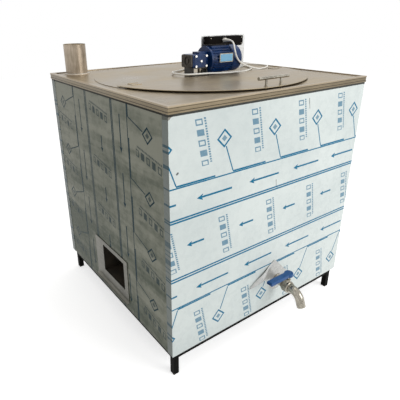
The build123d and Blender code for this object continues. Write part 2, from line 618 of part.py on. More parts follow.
def motor_pieces():
    """The ribbed motor with its flange, terminal base, fan cowl, fan, shaft, pad and capacitor."""
    bore = rod_x(GEAR_X0, 2 * COWL_X, 0, MOTOR_Z, MOTOR_SHAFT + RUNNING_GAP)
    flange = rod_x(GEAR_X1, FLANGE_X, 0, MOTOR_Z, MOTOR_RADIUS - 2)
    pieces["motor_flange"] = flange - bore

    body = rod_x(FLANGE_X, BODY_X, 0, MOTOR_Z, MOTOR_CORE)
    rib = block(
        FLANGE_X + 6, BODY_X - 4, -RIB_WIDTH / 2, RIB_WIDTH / 2, MOTOR_CORE - 2, MOTOR_RADIUS
    )
    for i in range(MOTOR_RIBS):
        angle = 360 / MOTOR_RIBS * (i + 0.5)
        body = body + Pos(0, 0, MOTOR_Z) * Rot(angle, 0, 0) * rib
    mid_x = (FLANGE_X + BODY_X) / 2
    seat = block(
        mid_x - TERMINAL_LENGTH / 2,
        mid_x + TERMINAL_LENGTH / 2,
        -TERMINAL_WIDTH / 2,
        TERMINAL_WIDTH / 2,
        MOTOR_Z,
        TERMINAL_SEAT,
    )
    shield = rod_x(BODY_X - 4, BODY_X + 6, 0, MOTOR_Z, MOTOR_RADIUS - COWL_WALL - SEAT_GAP)
    body = body + seat + shield
    pieces["motor_body"] = body - bore
    lid = block(
        mid_x - TERMINAL_LENGTH / 2 - 2,
        mid_x + TERMINAL_LENGTH / 2 + 2,
        -TERMINAL_WIDTH / 2 - 2,
        PLATE_Y - BOX_DEPTH - 2,
        TERMINAL_SEAT,
        TERMINAL_SEAT + TERMINAL_LID,
    )
    pieces["terminal_lid"] = fillet(lid.edges().filter_by(Axis.Z), 5)

    cowl = rod_x(BODY_X, COWL_X, 0, MOTOR_Z, MOTOR_RADIUS)
    rim = cowl.edges().filter_by(GeomType.CIRCLE).sort_by(Axis.X)[-1]
    cowl = fillet(rim, 14)
    room = rod_x(BODY_X - 1, COWL_X - COWL_WALL, 0, MOTOR_Z, MOTOR_RADIUS - COWL_WALL)
    inner_rim = room.edges().filter_by(GeomType.CIRCLE).sort_by(Axis.X)[-1]
    cowl = cowl - fillet(inner_rim, 14 - COWL_WALL)
    for i in range(-3, 4):
        z = MOTOR_Z + i * 11
        half = sqrt(max(38.0**2 - (i * 11) ** 2, 0))
        if half > 6:
            cowl = cowl - block(COWL_X - 4, COWL_X + 1, -half, half, z - 3, z + 3)
    pieces["fan_cowl"] = cowl

    shaft = rod_x(GEAR_X1 - 13, BODY_X + 30, 0, MOTOR_Z, MOTOR_SHAFT)
    pieces["motor_shaft"] = shaft
    fan = rod_x(BODY_X + 9, BODY_X + 28, 0, MOTOR_Z, 14)
    blade = block(BODY_X + 9, BODY_X + 28, -1, 1, 12, FAN_RADIUS)
    for i in range(FAN_BLADES):
        fan = fan + Pos(0, 0, MOTOR_Z) * Rot(360 / FAN_BLADES * i, 0, 0) * blade
    disc = rod_x(BODY_X + 8, BODY_X + 10, 0, MOTOR_Z, FAN_RADIUS)
    pieces["motor_fan"] = fan + disc - rod_x(BODY_X, COWL_X, 0, MOTOR_Z, MOTOR_SHAFT)

    pad_top = MOTOR_Z - MOTOR_RADIUS - SEAT_GAP
    pad_x = FLANGE_X + 4
    pieces["motor_pad"] = block(
        pad_x, pad_x + PAD_LENGTH, -PAD_WIDTH / 2, PAD_WIDTH / 2, COVER_TOP, pad_top
    )
    cap_y = PLATE_Y - SEAT_GAP - CAPACITOR_RADIUS
    cap_x = COWL_X + 62
    can = rod_z(cap_x, cap_y, CAPACITOR_TOP - CAPACITOR_LENGTH, CAPACITOR_TOP, CAPACITOR_RADIUS)
    pieces["run_capacitor"] = fillet(can.edges().group_by(Axis.Z)[-1], 2)


def control_pieces():
    """The upright plate, the flat control box near its top, and the gland in the box's front."""
    plate = block(PLATE_X0, PLATE_X1, PLATE_Y, PLATE_Y + PLATE_SHEET, COVER_TOP, PLATE_TOP)
    plate = fillet(plate.edges().filter_by(Axis.Y), 6)
    foot = block(
        PLATE_X0 + 8, PLATE_X1 - 8, PLATE_Y, PLATE_Y + PLATE_FOOT, COVER_TOP, COVER_TOP + PLATE_SHEET
    )
    pieces["control_plate"] = plate + foot

    front = PLATE_Y - BOX_DEPTH
    back = PLATE_Y - SEAT_GAP
    box = block(BOX_X0, BOX_X1, front, back, BOX_Z0, BOX_Z1)
    corners = box.edges().filter_by(Axis.Y).group_by(Axis.Z)[0]
    box = chamfer(corners, BOX_CHAMFER)
    box = fillet(box.edges().filter_by(Axis.Y).group_by(Axis.Z)[-1], 3)
    pieces["control_box"] = box

    hexagon = Pos(GLAND_X, front, GLAND_Z) * Rot(90, 0, 0)
    nut = hexagon * extrude(RegularPolygon(GLAND_RADIUS, 6), GLAND_LENGTH * 0.45)
    tail = hexagon * Pos(0, 0, GLAND_LENGTH * 0.45)
    tail = tail * Cone(
        GLAND_RADIUS * 0.85, GLAND_RADIUS * 0.55, GLAND_LENGTH * 0.55, align=(Align.CENTER, Align.CENTER, Align.MIN)
    )
    pieces["cable_gland"] = nut + tail


def stirrer_pieces():
    """The upright shaft with two pitched paddles, and the bush that guides its foot."""
    foot = FLOOR_HEIGHT + 6
    pieces["stirrer_shaft"] = rod_z(0, 0, foot, SHAFT_TOP, SHAFT_RADIUS)
    paddles = []
    for z, reach, turn in ((LOWER_PADDLE_Z, PADDLE_RADIUS, 0), (UPPER_PADDLE_Z, PADDLE_RADIUS * 0.7, 90)):
        hub = rod_z(0, 0, z - 25, z + 25, HUB_RADIUS)
        for side in (0, 180):
            blade = Box(reach - HUB_RADIUS / 2, PADDLE_SHEET, PADDLE_HEIGHT)
            blade = Pos((reach + HUB_RADIUS / 2) / 2, 0, 0) * Rot(PADDLE_PITCH, 0, 0) * blade
            hub = hub + Pos(0, 0, z) * Rot(0, 0, side + turn) * blade
        paddles.append(hub - rod_z(0, 0, z - 60, z + 60, SHAFT_RADIUS))
    pieces["stirrer_paddles"] = paddles

    bush = rod_z(0, 0, FLOOR_HEIGHT - BUSH_HEIGHT, FLOOR_HEIGHT + BUSH_HEIGHT, BUSH_RADIUS)
    bush = bush - floor_cut(-SEAT_GAP)
    hole = rod_z(0, 0, foot - 2, FLOOR_HEIGHT + 2 * BUSH_HEIGHT, SHAFT_RADIUS + RUNNING_GAP)
    pieces["foot_bush"] = bush - hole


def drain_pieces():
    """The drain pipe to the front, its escutcheon, the ball valve with its lever, and the spout."""
    top = Vector(TAP_X, DRAIN_Y, FLOOR_HEIGHT)
    bend = Vector(TAP_X, DRAIN_Y, TAP_Z)
    end = Vector(TAP_X, VALVE_BACK, TAP_Z)
    path = FilletPolyline(top, bend, end, radius=DRAIN_BEND)
    profile = Plane(origin=top, z_dir=(0, 0, -1))
    pipe = sweep(profile * Circle(PIPE_RADIUS), path=path)
    bore = sweep(profile * Circle(PIPE_BORE), path=path)
    under_floor = floor_cut(VESSEL_WALL + SEAT_GAP)
    pieces["drain_pipe"] = (pipe - bore) & under_floor

    face = -PANEL_Y - ESCUTCHEON_SHEET
    ring = rod_y(TAP_X, face, -PANEL_Y, TAP_Z, ESCUTCHEON_RADIUS)
    pieces["pipe_escutcheon"] = ring - rod_y(TAP_X, face - 1, -PANEL_Y + 1, TAP_Z, PIPE_RADIUS + RUNNING_GAP)

    room = BALL_RADIUS + RUNNING_GAP
    mid = rod_y(TAP_X, VALVE_Y - 16, VALVE_Y + 16, TAP_Z, VALVE_RADIUS)
    mid = fillet(mid.edges().filter_by(GeomType.CIRCLE), 6)
    hexagon = Rot(90, 0, 0) * extrude(RegularPolygon(VALVE_NUT, 6), VALVE_LENGTH / 2, both=True)
    body = mid + Pos(TAP_X, VALVE_Y, TAP_Z) * hexagon
    neck_top = TAP_Z + VALVE_RADIUS + 12
    body = body + rod_z(TAP_X, VALVE_Y, TAP_Z, neck_top, STEM_RADIUS + 6)
    body = body - rod_y(TAP_X, VALVE_FRONT - 1, VALVE_BACK + 1, TAP_Z, BALL_BORE)
    body = body - Pos(TAP_X, VALVE_Y, TAP_Z) * Sphere(room)
    body = body - rod_z(TAP_X, VALVE_Y, TAP_Z, neck_top + 1, STEM_RADIUS + RUNNING_GAP)
    pieces["valve_body"] = body

    ball = Pos(TAP_X, VALVE_Y, TAP_Z) * Rot(0, 0, 90) * Sphere(BALL_RADIUS)
    pieces["valve_ball"] = ball - rod_x(TAP_X - 40, TAP_X + 40, VALVE_Y, TAP_Z, BALL_BORE)

    stem_foot = TAP_Z + BALL_RADIUS
    grip_z = LEVER_Z - SLEEVE_THICK / 2 + LEVER_SHEET / 2
    room_top = grip_z + SLEEVE_THICK - SLEEVE_SKIN
    stem = rod_z(TAP_X, VALVE_Y, stem_foot, room_top - SEAT_GAP, STEM_RADIUS)
    nut = Pos(TAP_X, VALVE_Y, LEVER_Z + LEVER_SHEET) * extrude(
        RegularPolygon(9, 6), room_top - SEAT_GAP - LEVER_Z - LEVER_SHEET
    )
    stem = stem - Pos(TAP_X, VALVE_Y, TAP_Z) * Sphere(BALL_RADIUS)
    pieces["valve_stem"] = stem + nut

    eye = SLEEVE_EYE - SLEEVE_SKIN - 1
    lever = block(
        TAP_X - LEVER_LENGTH + 4, TAP_X, VALVE_Y - LEVER_WIDTH / 2, VALVE_Y + LEVER_WIDTH / 2,
        LEVER_Z, LEVER_Z + LEVER_SHEET,
    )
    lever = lever + rod_z(TAP_X, VALVE_Y, LEVER_Z, LEVER_Z + LEVER_SHEET, eye)
    lever = lever - rod_z(TAP_X, VALVE_Y, LEVER_Z - 1, LEVER_Z + 10, STEM_RADIUS)
    pieces["valve_lever"] = lever

    x0 = TAP_X - LEVER_LENGTH
    shape = Pos((x0 + TAP_X) / 2, VALVE_Y) * Rectangle(TAP_X - x0, SLEEVE_WIDTH)
    shape = shape + Pos(TAP_X, VALVE_Y) * Circle(SLEEVE_EYE)
    grip = Pos(0, 0, grip_z) * extrude(shape, SLEEVE_THICK)
    grip = fillet(grip.edges().group_by(Axis.Z)[-1], SLEEVE_THICK * 0.28)
    grip = fillet(grip.edges().group_by(Axis.Z)[0], SLEEVE_THICK * 0.2)
    slot = block(
        x0 - 1, TAP_X, VALVE_Y - LEVER_WIDTH / 2, VALVE_Y + LEVER_WIDTH / 2,
        LEVER_Z, LEVER_Z + LEVER_SHEET,
    )
    under = rod_z(TAP_X, VALVE_Y, grip_z - 1, LEVER_Z + LEVER_SHEET, eye)
    pocket = rod_z(TAP_X, VALVE_Y, LEVER_Z, room_top, 9.5)
    pieces["lever_sleeve"] = grip - slot - under - pocket

    start = Vector(TAP_X, VALVE_FRONT, TAP_Z)
    a = radians(SPOUT_ANGLE)
    arm = SPOUT_BEND * tan(a / 2)
    corner = start + Vector(0, -arm - SPOUT_LEAD, 0)
    tip = corner + Vector(0, -cos(a), -sin(a)) * (arm + SPOUT_LENGTH)
    path = FilletPolyline(start, corner, tip, radius=SPOUT_BEND)
    plane = Plane(origin=path @ 0, z_dir=(0, -1, 0))
    spout = sweep(plane * Circle(SPOUT_RADIUS), path=path)
    inner = sweep(plane * Circle(SPOUT_RADIUS - SPOUT_WALL), path=path)
    pieces["spout"] = spout - inner


def cord_pieces():
    """The mains lead over the motor's end and round the reducer, its put-away coil and the plug."""
    r = CORD_RADIUS
    lie = COVER_TOP + r + 0.2
    exit_y = PLATE_Y - BOX_DEPTH - GLAND_LENGTH
    hump = lie + 7
    drop_x = GLAND_X + 16
    beside = COIL_MEAN_RADIUS + r * (2 * COIL_TURNS_WIDE / 2 + 1) + SEAT_GAP
    route = [
        (GLAND_X, exit_y - SEAT_GAP, GLAND_Z),
        (GLAND_X, exit_y - 28, GLAND_Z),
        (GLAND_X - 12, exit_y - 58, GLAND_Z - 9),
        (GLAND_X - 23, exit_y - 79, GLAND_Z - 38),
        (GLAND_X - 16, exit_y - 85, GLAND_Z - 71),
        (GLAND_X + 10, exit_y - 83, GLAND_Z - 95),
        (GLAND_X + 54, exit_y - 70, GLAND_Z - 110),
        (drop_x + 88, exit_y - 56, lie + 14),
        (drop_x + 132, exit_y - 62, lie + 2),
        (drop_x + 178, exit_y - 56, lie),
        (drop_x + 222, exit_y - 36, lie),
        (drop_x + 262, exit_y - 10, lie),
        (drop_x + 290, exit_y + 20, lie),
        (drop_x + 296, exit_y + 62, lie),
        (drop_x + 282, exit_y + 116, lie),
        (drop_x + 252, exit_y + 168, lie),
        (drop_x + 208, exit_y + 220, lie),
        (drop_x + 154, exit_y + 262, lie),
        (drop_x + 88, exit_y + 284, lie),
        (drop_x + 10, exit_y + 262, lie),
        (drop_x - 82, exit_y + 204, lie),
        (drop_x - 172, exit_y + 151, lie),
        (drop_x - 254, exit_y + 104, lie + 3),
        (drop_x - 300, exit_y + 54, hump),
        (drop_x - 314, exit_y - 2, hump),
        (drop_x - 292, exit_y - 46, hump),
        (drop_x - 240, exit_y - 60, hump),
        (drop_x - 182, exit_y - 61, hump - 1),
        (drop_x - 130, exit_y - 65, lie + 3),
        (drop_x - 76, exit_y - 67, lie),
        (drop_x - 20, exit_y - 74, lie),
        (drop_x + 34, exit_y - 76, lie),
        (drop_x + 86, exit_y - 54, lie),
        (drop_x + 138, exit_y - 20, lie),
        (drop_x + 172, exit_y + 34, lie),
        (drop_x + 186, exit_y + 88, lie),
        (COIL_X + beside, COIL_Y - 48, lie),
        (COIL_X + beside + 0.2, COIL_Y, lie),
    ]
    points = [Vector(*p) for p in route]
    radii = []
    for before, here, after in zip(points, points[1:], points[2:]):
        turn = radians((here - before).get_angle(after - here))
        run = min((here - before).length, (after - here).length)
        radii.append(0.45 * run / tan(turn / 2))
    path = FilletPolyline(*points, radius=radii)
    plane = Plane(origin=path @ 0, z_dir=path % 0)
    tube = sweep(plane * Circle(r), path=path)
    pieces["mains_cord"] = tube
    print("cord radii", [round(v) for v in radii])
    print("cord tube", round(path.length), "volume ratio", round(tube.volume / (pi * r * r * path.length), 4))

    pitch = 2 * r
    coil_outer = COIL_MEAN_RADIUS + pitch * COIL_TURNS_WIDE / 2
    coil_inner = COIL_MEAN_RADIUS - pitch * COIL_TURNS_WIDE / 2
    base = DECK_TOP + COVER_SHEET
    coil = pipe_z(COIL_X, COIL_Y, base, base + pitch * COIL_TURNS_HIGH, coil_outer, coil_inner)
    pieces["cord_coil"] = coil

    plug_x = COIL_X - COIL_MEAN_RADIUS - r
    half = PLUG_SIZE / 2
    aside = COIL_X - plug_x - half
    back = COIL_Y - sqrt((coil_outer + SEAT_GAP) ** 2 - aside**2)
    plug_z = base + half
    front = back - 1.6 * PLUG_SIZE
    body = block(plug_x - half, plug_x + half, front, back, base, base + PLUG_SIZE)
    body = fillet(body.edges(), 5)
    for s in (-1, 1):
        body = body + rod_y(plug_x + s * 9.5, front - 19, front, plug_z, 2.4)
    pieces["mains_plug"] = body


def write_pieces():
    """Move every piece to the middle of the footprint and write one file per piece."""
    os.makedirs("parts", exist_ok=True)
    place = Pos(AXIS_X, AXIS_Y, 0)
    for name, made in pieces.items():
        solids = made if isinstance(made, list) else [made]
        flat = [one for group in solids for one in group.solids()]
        shape = flat[0] if len(flat) == 1 else Compound(children=flat)
        export_step(place * shape, "parts/" + name + ".step")


frame_pieces()
casing_pieces()
vessel_pieces()
fire_pieces()
cover_pieces()
gearbox_pieces()
motor_pieces()
control_pieces()
stirrer_pieces()
drain_pieces()
cord_pieces()
write_pieces()
print("axis", round(AXIS_X, 3), round(AXIS_Y, 3), "pieces", len(pieces))
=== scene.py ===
"""Looks of the milk vat: materials, film print, fine detail, light and camera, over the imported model."""

import json
import math

import bmesh
import bpy
from mathutils import Matrix, Vector


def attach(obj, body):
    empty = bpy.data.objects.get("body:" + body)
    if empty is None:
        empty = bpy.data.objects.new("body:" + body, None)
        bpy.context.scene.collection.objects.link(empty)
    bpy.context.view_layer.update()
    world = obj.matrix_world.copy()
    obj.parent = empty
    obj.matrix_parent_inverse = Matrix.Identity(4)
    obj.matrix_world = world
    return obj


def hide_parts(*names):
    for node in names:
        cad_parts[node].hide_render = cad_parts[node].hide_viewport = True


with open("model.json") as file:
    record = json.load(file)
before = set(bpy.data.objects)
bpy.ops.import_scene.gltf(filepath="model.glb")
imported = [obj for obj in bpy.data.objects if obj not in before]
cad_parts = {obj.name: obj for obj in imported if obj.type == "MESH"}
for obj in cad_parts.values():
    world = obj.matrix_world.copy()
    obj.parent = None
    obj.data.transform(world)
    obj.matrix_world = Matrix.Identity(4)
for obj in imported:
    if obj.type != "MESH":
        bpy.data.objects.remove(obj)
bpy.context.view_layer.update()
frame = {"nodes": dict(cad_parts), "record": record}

# The vessel's upright axis in the model's frame, in metres
AXIS_X = 0.00565
AXIS_Y = 0.081089

# Sizes and places in millimetres from that axis and the floor
HALF_WIDTH = 523.0
HALF_DEPTH = 507.5
PANEL_FACE = 504.5
BAND_FOOT = 1073.0
MOTOR_Z = 1163.0
TAP_X = 60.0
TAP_Z = 235.0
GLAND_X = 176.0
GLAND_Y = 14.0
GLAND_Z = 1240.43
COVER_LIE = 1102.45
COIL_X = 330.0
COIL_Y = 205.0
CHIMNEY_X = -420.0
CHIMNEY_Y = 420.0


def at(x, y, z):
    """The point at this many millimetres from the vessel's axis and above the floor."""
    return Vector((x / 1000 + AXIS_X, y / 1000 + AXIS_Y, z / 1000))


# Camera
def make_camera():
    """The camera at the photograph's viewing angle."""
    data = bpy.data.cameras.new("camera")
    camera = bpy.data.objects.new("camera", data)
    bpy.context.scene.collection.objects.link(camera)
    yaw, pitch, roll = 0.614021, 0.399347, -0.0119508
    focal, middle_x, middle_y, frame_size = 402.594, 176.84, 186.83, 400
    flat = math.cos(pitch)
    look = Vector((math.sin(yaw) * flat, math.cos(yaw) * flat, -math.sin(pitch)))
    level_right = look.cross(Vector((0, 0, 1))).normalized()
    level_up = level_right.cross(look)
    right = math.cos(roll) * level_right + math.sin(roll) * level_up
    up = math.cos(roll) * level_up - math.sin(roll) * level_right
    turn = Matrix((right, up, -look)).transposed().to_4x4()
    camera.matrix_world = Matrix.Translation(at(-1188.43, -1494.27, 1344.18)) @ turn
    data.sensor_width = 36
    data.lens = focal * data.sensor_width / frame_size
    data.shift_x = (frame_size / 2 - middle_x) / frame_size
    data.shift_y = (middle_y - frame_size / 2) / frame_size
    data.clip_end = 50
    bpy.context.scene.camera = camera


make_camera()


# Shader graphs
class Value:
    """A socket that carries a number or a colour, so that sums of sockets read as arithmetic."""

    def __init__(self, graph, socket):
        self.graph = graph
        self.socket = socket

    def math(self, operation, *terms, clamp=False):
        settings = {"operation": operation, "use_clamp": clamp}
        return self.graph.node("Math", settings, dict(enumerate(terms)))

    def __add__(self, other):
        return self.math("ADD", self, other)

    def __sub__(self, other):
        return self.math("SUBTRACT", self, other)

    def __rsub__(self, other):
        return self.math("SUBTRACT", other, self)

    def __mul__(self, other):
        return self.math("MULTIPLY", self, other)

    def __truediv__(self, other):
        return self.math("DIVIDE", self, other)

    def __mod__(self, period):
        return self.math("FLOORED_MODULO", self, period)

    def __abs__(self):
        return self.math("ABSOLUTE", self)

    def __lt__(self, other):
        return self.math("LESS_THAN", self, other)

    def __gt__(self, other):
        return self.math("GREATER_THAN", self, other)

    def high(self, other):
        return self.math("MAXIMUM", self, other)

    def clamp(self):
        return self.math("ADD", self, 0.0, clamp=True)


class Graph:
    """The nodes of one material or world. Every node comes from the one method node."""

    def __init__(self, data):
        data.use_nodes = True
        self.tree = data.node_tree

    def node(self, kind, settings, sockets, out=0):
        made = self.tree.nodes.new("ShaderNode" + kind)
        for name, setting in settings.items():
            setattr(made, name, setting)
        self.feed(made, sockets)
        return Value(self, made.outputs[out])

    def feed(self, made, sockets):
        for key, value in sockets.items():
            if isinstance(value, Value):
                self.tree.links.new(value.socket, made.inputs[key])
            else:
                made.inputs[key].default_value = value


class Finish(Graph):
    """A surface material that knows its place in millimetres from the vessel's axis and the floor."""

    def __init__(self, name):
        self.material = bpy.data.materials.new(name)
        super().__init__(self.material)
        self.shader = self.tree.nodes["Principled BSDF"]
        self.place = self.node("TexCoord", {}, {}, "Object")
        x, y, z = (self.node("SeparateXYZ", {}, {0: self.place}, axis) for axis in range(3))
        self.x = (x - AXIS_X) * 1000
        self.y = (y - AXIS_Y) * 1000
        self.z = z * 1000

    def noise(self, scale, stretch=(1, 1, 1), detail=3.0, rough=0.5):
        spread = self.node("Mapping", {}, {"Vector": self.place, "Scale": stretch})
        sockets = {"Vector": spread, "Scale": scale, "Detail": detail, "Roughness": rough}
        return self.node("TexNoise", {}, sockets, "Fac")

    def ramp(self, value, low, high):
        return self.node("MapRange", {}, {"Value": value, "From Min": low, "From Max": high})

    def mix(self, factor, first, second):
        """A blend of two colours, by the places of a Mix node's colour sockets."""
        sockets = {0: factor}
        for key, colour in ((6, first), (7, second)):
            sockets[key] = colour if isinstance(colour, Value) else (*colour, 1)
        return self.node("Mix", {"data_type": "RGBA"}, sockets, 2)

    def done(self, colour, height, distance, strength, rough, metal=0.0, gloss=0.5):
        """Feeds the surface shader and returns the material."""
        bump = {"Height": height, "Distance": distance, "Strength": strength}
        sockets = {"Base Color": colour, "Roughness": rough, "Metallic": metal}
        sockets["Specular IOR Level"] = gloss
        sockets["Normal"] = self.node("Bump", {}, bump)
        self.feed(self.shader, sockets)
        return self.material


def between(value, low, high):
    """One between the two limits and nought elsewhere."""
    return (value > low) * (value < high)


# The film's print: its repeat along the roll, and half of a ruled line's width
PITCH = 251.0
THIN = 2.6
THICK = 3.3


def print_rules(along, across):
    """The long ruled lines: two single ones, two pairs, and a short second line in each repeat."""
    ink = (abs(across - 826) < THIN).high(abs(across - 341) < THIN)
    for line in (710.0, 700.5, 473.5, 462.5):
        ink = ink.high(abs(across - line) < THICK)
    run = (along + 243) % PITCH
    ink = ink.high((abs(across - 832.6) < THICK) * (run < 168))
    return ink.high((abs(across - 334.4) < THICK) * (run < 160))


def print_arrow(run, rise, start, end, half, slope):
    """A direction arrow whose head points to the low end of its run."""
    shaft = (rise < half) * between(run, start, end)
    reach = start * 2.2
    head = (rise < run * slope) * (run < reach) * (rise > (run - start * 1.6) * 1.1)
    return shaft.high(head)


def print_arrows(along, across):
    """Long arrows in the two wide lanes and short ones in the lane between."""
    far = (along + 407) % PITCH
    ink = print_arrow(far, abs(across - 768.0), 12, 163, 3.8, 0.46)
    ink = ink.high(print_arrow(far, abs(across - 397.0), 12, 163, 3.8, 0.46))
    near = (along + 450) % PITCH
    return ink.high(print_arrow(near, abs(across - 597.0), 10, 78, 4.0, 0.5))


def print_diamonds(along, across):
    """Plain diamonds, each at the end of a slanted lead line."""
    half = PITCH / 2
    lean = (along + 243) % PITCH
    ink = None
    for up in (across - 834.0, 331.0 - across):
        slope = (lean + up * 0.38 - half) % PITCH - half
        lead = (abs(slope) < THIN) * between(up, 0, 98)
        aside = (lean + 46 + half) % PITCH - half
        size = abs(aside) + abs(up - 128)
        mark = between(size, 25, 34).high((size < 12) * 0.7).high(lead)
        ink = mark if ink is None else ink.high(mark)
    return ink


def print_bars(along, across):
    """Slanted columns of plain bars beside a ruled edge."""
    ink = None
    for centre, start in ((969.0, 441.0), (588.0, 329.0), (208.0, 441.0)):
        up = across - centre
        column = (along + start + up * 0.2 - 16) % PITCH
        row = (up + 90) % 36
        hollow = between(column, 27, 47) * between(row, 5, 17) * ((up + 90) % 72 < 36)
        bars = between(column, 22, 52) * (row < 22) * (abs(up) < 88) * (1 - hollow)
        rule = between(column, 59, 67) * ((up + 90) % 9 < 6) * (abs(up) < 80)
        mark = (bars * 0.75).high(rule * 0.8)
        ink = mark if ink is None else ink.high(mark)
    return ink


def film_print(along, across):
    """The blue print of the protective film, from millimetres along and across its roll."""
    ink = print_rules(along, across).high(print_arrows(along, across))
    return ink.high(print_diamonds(along, across)).high(print_bars(along, across))


def scratch(finish, x0, z0, x1, z1, wide):
    """A dark mark along a line on the front."""
    dx, dz = x1 - x0, z1 - z0
    long_squared = dx**2 + dz**2
    run = ((finish.x - x0) * (dx / long_squared) + (finish.z - z0) * (dz / long_squared)).clamp()
    off_x = finish.x - x0 - run * dx
    off_z = finish.z - z0 - run * dz
    return off_x * off_x + off_z * off_z < wide**2


def film_finish(name, face):
    """Printed film over steel: face is front, back, left or right."""
    film = Finish(name)
    left = face == "left"
    if left:
        # The roll runs upward here, and its print repeats a little closer than on the front
        ink = film_print((film.z - 870) * 1.08 - 407, 587 - film.y)
        # Painted shade: the left face's tones are set darker than the front's, partly for the steel seen
        # through the film and partly for the shade on this side.
        pale, shade, blue = (0.325, 0.330, 0.270), (0.120, 0.138, 0.105), (0.002, 0.030, 0.045)
    else:
        ink = film_print(film.y if face == "right" else film.x, film.z)
        pale, shade, blue = (0.71, 0.765, 0.745), (0.62, 0.68, 0.67), (0.000, 0.155, 0.285)
    # On the left face the broad mottling is stretched into horizontal streaks of painted reflection; on
    # the other faces it is the film's own uneven tone.
    broad_mottle_and_reflection = film.noise(3.0, (1, 0.5, 4.2) if left else (1, 1, 1), 4, 0.6)
    fine = film.noise(26, (1, 1, 1), 3, 0.6)
    cloud = broad_mottle_and_reflection * 0.75 + fine * 0.25
    if left:
        # Painted light: the left face grows lighter towards the top.
        cloud = cloud + (film.z - 600) / 5500
    colour = film.mix(film.ramp(cloud, 0.38, 0.61), shade, pale)
    wear = film.ramp(film.noise(60, (1, 1, 1), 2, 0.6), 0.30, 0.42)
    ink = ink * (wear * 0.1 + 0.9)
    metal = 0.0
    if face == "front":
        # Bare steel in a wedge above the tap and round its pipe, and film worn off the top corner
        aside = film.x - 32
        drop = 351 - film.z
        torn = (drop > 0) * (aside < drop * 0.95 + 4) * (aside > drop * -1.3 - 2) * (drop < 92)
        ring_x = film.x - TAP_X
        ring_z = film.z - TAP_Z
        torn = torn.high(ring_x * ring_x + ring_z * ring_z < 50**2)
        below = BAND_FOOT - film.z
        corner = (below > 0) * ((film.x + HALF_WIDTH) * 0.7 + below < fine * 24 + 8)
        ink = ink * (1 - torn.high(corner))
        colour = film.mix(torn, colour, (0.50, 0.50, 0.48))
        colour = film.mix(corner * 0.8, colour, (0.20, 0.17, 0.13))
        # A dark spot and two thin bent scratches
        marks = scratch(film, -490, 876, -486, 879, 3.4)
        thin = [(148, 1046, 152, 1026, 1.8), (152, 1026, 157, 1006, 1.2)]
        thin += [(-5, 741, -2, 716, 1.4), (-2, 716, 9, 698, 1.2)]
        for mark in thin:
            marks = marks.high(scratch(film, *mark))
        colour = film.mix(marks * 0.85, colour, (0.03, 0.03, 0.03))
        metal = torn * 0.35
    colour = film.mix(ink, colour, blue)
    if not left:
        # Painted shade: the front and back sheets' turned edge is darkened to the left face's shaded tone
        turned_edge_shade = (film.x < 4 - HALF_WIDTH) * (abs(film.y) < PANEL_FACE - 1)
        colour = film.mix(turned_edge_shade * 0.75, colour, (0.06, 0.075, 0.06))
    # Painted shadow: a dark line on the film under the deck's band
    colour = film.mix((film.z > BAND_FOOT - 7) * 0.95, colour, (0.02, 0.02, 0.015))
    crease = film.noise(5, (1.6, 1.6, 1), 4, 0.55)
    rough = film.ramp(fine, 0.2, 0.8) * 0.12 + 0.22
    height = crease * 0.7 + fine * 0.12
    gloss = 0.03 if left else 0.12
    return film.done(colour, height, 0.004, 0.35, rough=rough, gloss=gloss, metal=metal)


# Other finishes
def steel(name, colour, dark, rough, stretch, patch=3.0, depth=0.0006, metal=0.9):
    """Rolled stainless sheet with faint streaks and wiped patches."""
    sheet = Finish(name)
    grain = sheet.noise(160, stretch, 3, 0.6)
    cloud = sheet.noise(patch, (1, 1, 1), 5, 0.6)
    base = sheet.mix(sheet.ramp(cloud * 0.65 + grain * 0.35, 0.36, 0.64), dark, colour)
    rough = sheet.ramp(cloud, 0.3, 0.7) * 0.16 + rough
    return sheet.done(base, grain * 0.5 + cloud, depth, 0.25, metal=metal, rough=rough)


def coating(name, colour, worn, rough, grain=220.0, depth=0.0003, metal=0.0, gloss=0.5):
    """Paint or moulding with a fine orange-peel and lightly rubbed patches."""
    coat = Finish(name)
    fine = coat.noise(grain, (1, 1, 1), 2, 0.5)
    cloud = coat.noise(14, (1, 1, 1), 4, 0.6)
    base = coat.mix(coat.ramp(cloud, 0.35, 0.75), colour, worn)
    rough = coat.ramp(cloud, 0.3, 0.7) * 0.14 + rough
    return coat.done(base, fine, depth, 0.35, metal=metal, rough=rough, gloss=gloss)


def deck_finish():
    """The deck and covers: warm grey sheet with wiped smears, a painted highlight along the rim, and
    painted shade on the band's sides and in its two creases.
    """
    deck = Finish("deck_sheet")
    grain = deck.noise(150, (0.06, 1, 1), 3, 0.6)
    cloud = deck.noise(4.5, (1, 1, 1), 5, 0.55)
    spots = deck.ramp(deck.noise(38, (1, 1, 1), 2, 0.5), 0.66, 0.74)
    patch = deck.ramp(cloud * 0.6 + grain * 0.4, 0.36, 0.66)
    base = deck.mix(patch, (0.225, 0.180, 0.115), (0.380, 0.310, 0.205))
    base = deck.mix(spots * 0.2, base, (0.46, 0.41, 0.33))
    edge = (abs(deck.x) - (HALF_WIDTH - 15)).high(abs(deck.y) - (HALF_DEPTH - 15))
    # Painted shade: the band's sides are darkened below the rim.
    base = deck.mix((edge > 0) * (deck.z < 1096) * 0.4, base, (0.10, 0.08, 0.05))
    # Painted highlight: the rim's top is lightened.
    rim = (edge > 0) * (deck.z > 1095)
    base = deck.mix(rim * 0.5, base, (0.42, 0.35, 0.26))
    # Painted shade in the band's two creases.
    crease = between(deck.z, 1080, 1082.2).high(between(deck.z, 1091.6, 1093.6))
    base = deck.mix(crease * 0.9, base, (0.04, 0.03, 0.02))
    rough = deck.ramp(cloud, 0.3, 0.7) * 0.18 + 0.26
    return deck.done(base, cloud + grain * 0.4, 0.0012, 0.3, metal=0.75, rough=rough, gloss=0.3)


